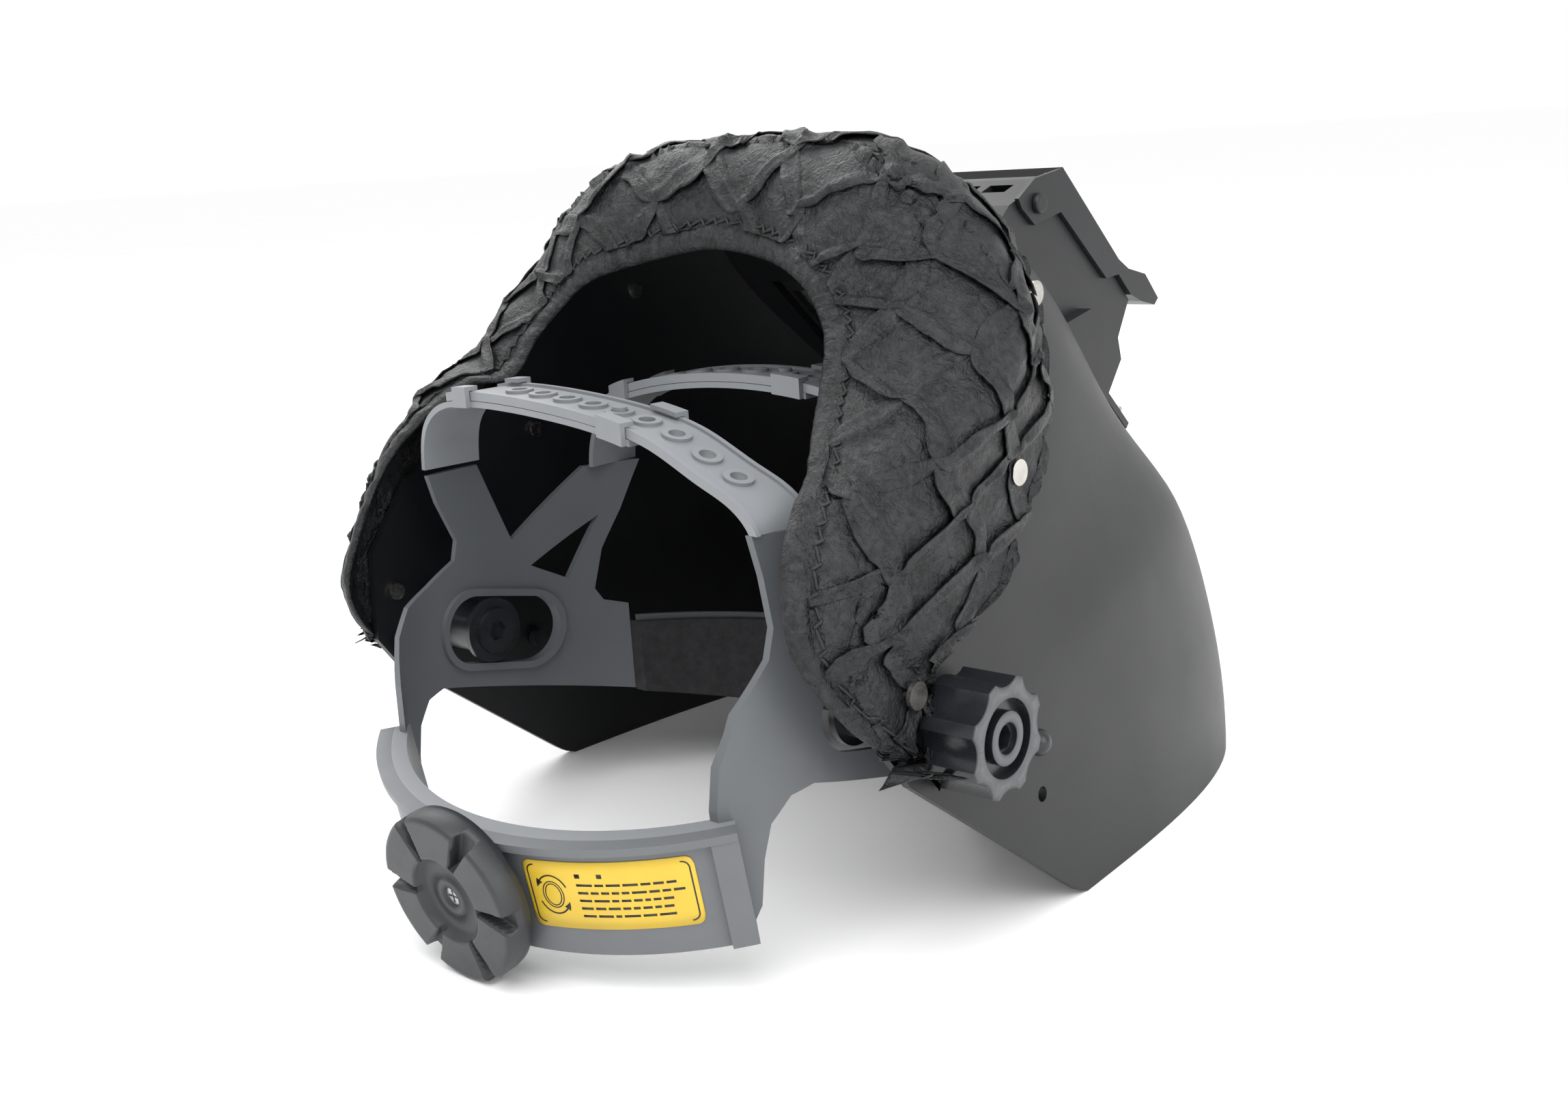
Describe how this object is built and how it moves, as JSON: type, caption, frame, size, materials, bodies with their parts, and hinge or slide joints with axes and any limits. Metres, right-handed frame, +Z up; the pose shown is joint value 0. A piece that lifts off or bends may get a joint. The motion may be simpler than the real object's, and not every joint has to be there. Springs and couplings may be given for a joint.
{
  "type": "lift-front welding helmet",
  "caption": "Lift-front welding helmet: deep face shell with a flip-up lens box, a scaled leather crown hood and ratchet headgear on side pivots.",
  "frame": {"origin": "centre of the bounding box's footprint on the surface the helmet stands on, with the ratchet knob and the shell's lower edge both touching it", "axes": "+X to the wearer's left, +Y towards the back of the head, so the face side is -Y, +Z up"},
  "size_m": [0.274, 0.3424, 0.2422],
  "materials": {
    "shell_plastic": "satin charcoal moulding",
    "clear_lens": "polished clear",
    "dark_glass": "polished, very dark green",
    "spring_steel": "plain zinc",
    "nickel_plate": "nickel plate",
    "rubber": "matte",
    "black_leather": "waxed, scaled grain",
    "black_nylon": "satin black moulding",
    "grey_nylon": "fine satin moulding",
    "dark_grey_nylon": "fine satin moulding",
    "sweat_fabric": "brushed cotton facing",
    "yellow_label": "printed film"
  },
  "bodies": {
    "headgear": {"side_plate_left": "grey_nylon", "side_plate_right": "grey_nylon", "brow_band": "grey_nylon", "brow_pad": "sweat_fabric", "rear_crown_strap_left": "grey_nylon", "rear_crown_strap_right": "grey_nylon", "front_crown_strap_left": "grey_nylon", "front_crown_strap_right": "grey_nylon", "ratchet_cover": "grey_nylon", "ratchet_back_plate": "grey_nylon", "ratchet_label": "yellow_label", "ratchet_click_spring": "spring_steel"},
    "pivot_slide": {"pivot_stud_left": "black_nylon", "pivot_stud_right": "black_nylon", "slide_block_left": "black_nylon", "slide_block_right": "black_nylon", "friction_washer_left": "rubber", "friction_washer_right": "rubber"},
    "shell": {"face_shell": "shell_plastic", "lens_box": "shell_plastic", "clear_inner_lens": "clear_lens", "inner_lens_clip": "spring_steel", "box_screws": "spring_steel", "leather_hood": "black_leather", "hood_rivets": "nickel_plate", "stop_pin_left": "black_nylon", "stop_pin_right": "black_nylon", "lid_hinge_pin": "shell_plastic"},
    "lens_lid": {"lid_frame": "shell_plastic", "lid_cover_lens": "clear_lens", "filter_gasket": "rubber", "dark_filter": "dark_glass", "filter_spring": "spring_steel"},
    "knob_left": {"tension_knob_left": "black_nylon"},
    "knob_right": {"tension_knob_right": "black_nylon"},
    "ratchet": {"ratchet_knob": "dark_grey_nylon", "pinion": "black_nylon", "knob_screw": "spring_steel"},
    "rack_left": {"rack_strap_left": "grey_nylon"},
    "rack_right": {"rack_strap_right": "grey_nylon"}
  },
  "joints": [
    {"name": "block_slide", "type": "slide", "parent": "headgear", "child": "pivot_slide", "axis": [0, 0.9744, 0.225], "range_m": [-0.017, 0.007]},
    {"name": "shell_tilt", "type": "hinge", "parent": "pivot_slide", "child": "shell", "pos_m": [0, 0.07268, 0.0744], "axis": [-1, 0, 0], "range_deg": [-40, 25]},
    {"name": "lid_lift", "type": "hinge", "parent": "shell", "child": "lens_lid", "pos_m": [0, -0.07237, 0.21222], "axis": [-1, 0, 0], "range_deg": [0, 95]},
    {"name": "tension_left_turn", "type": "hinge", "parent": "pivot_slide", "child": "knob_left", "pos_m": [0.128, 0.07268, 0.0744], "axis": [1, 0, 0], "range_deg": [-180, 180]},
    {"name": "tension_right_turn", "type": "hinge", "parent": "pivot_slide", "child": "knob_right", "pos_m": [-0.128, 0.07268, 0.0744], "axis": [-1, 0, 0], "range_deg": [-180, 180]},
    {"name": "ratchet_turn", "type": "hinge", "parent": "headgear", "child": "ratchet", "pos_m": [0, 0.15657, 0.02888], "axis": [0, 0.9848, -0.1736], "range_deg": [-180, 180]},
    {"name": "rack_left_run", "type": "hinge", "parent": "headgear", "child": "rack_left", "pos_m": [0, 0.04588, 0.0484], "axis": [0, 0.1736, 0.9848], "range_deg": [-10.2, 10.2]},
    {"name": "rack_right_run", "type": "hinge", "parent": "headgear", "child": "rack_right", "pos_m": [0, 0.04588, 0.0484], "axis": [0, 0.1736, 0.9848], "range_deg": [-10.2, 10.2]}
  ],
  "couplings": [
    {"joint": "rack_left_run", "follows": "ratchet_turn", "ratio": -0.05613},
    {"joint": "rack_right_run", "follows": "ratchet_turn", "ratio": 0.05613}
  ]
}
